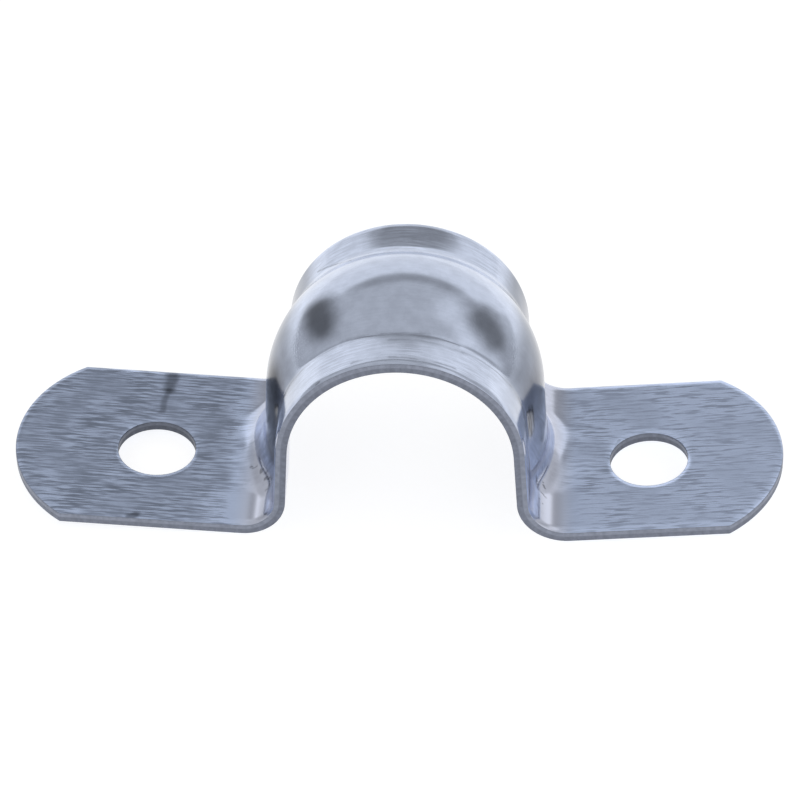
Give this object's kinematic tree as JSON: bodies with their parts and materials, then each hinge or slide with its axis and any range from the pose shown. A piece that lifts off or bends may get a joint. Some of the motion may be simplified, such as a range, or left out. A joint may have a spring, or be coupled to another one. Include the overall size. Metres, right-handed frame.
{
  "type": "conduit strap",
  "caption": "Two-hole saddle strap of pressed sheet steel, with a rib over its arch, that holds a round conduit on a wall.",
  "frame": {"origin": "on the conduit's axis, midway across the strap", "axes": "+X along the strap from ear to ear, +Y along the conduit, +Z away from the wall"},
  "size_m": [0.0706, 0.02, 0.0215],
  "materials": {
    "steel": "bright rolled steel sheet with fine rolling lines, burnished where it was pressed"
  },
  "bodies": {
    "root": {"strap": "steel"}
  },
  "joints": []
}
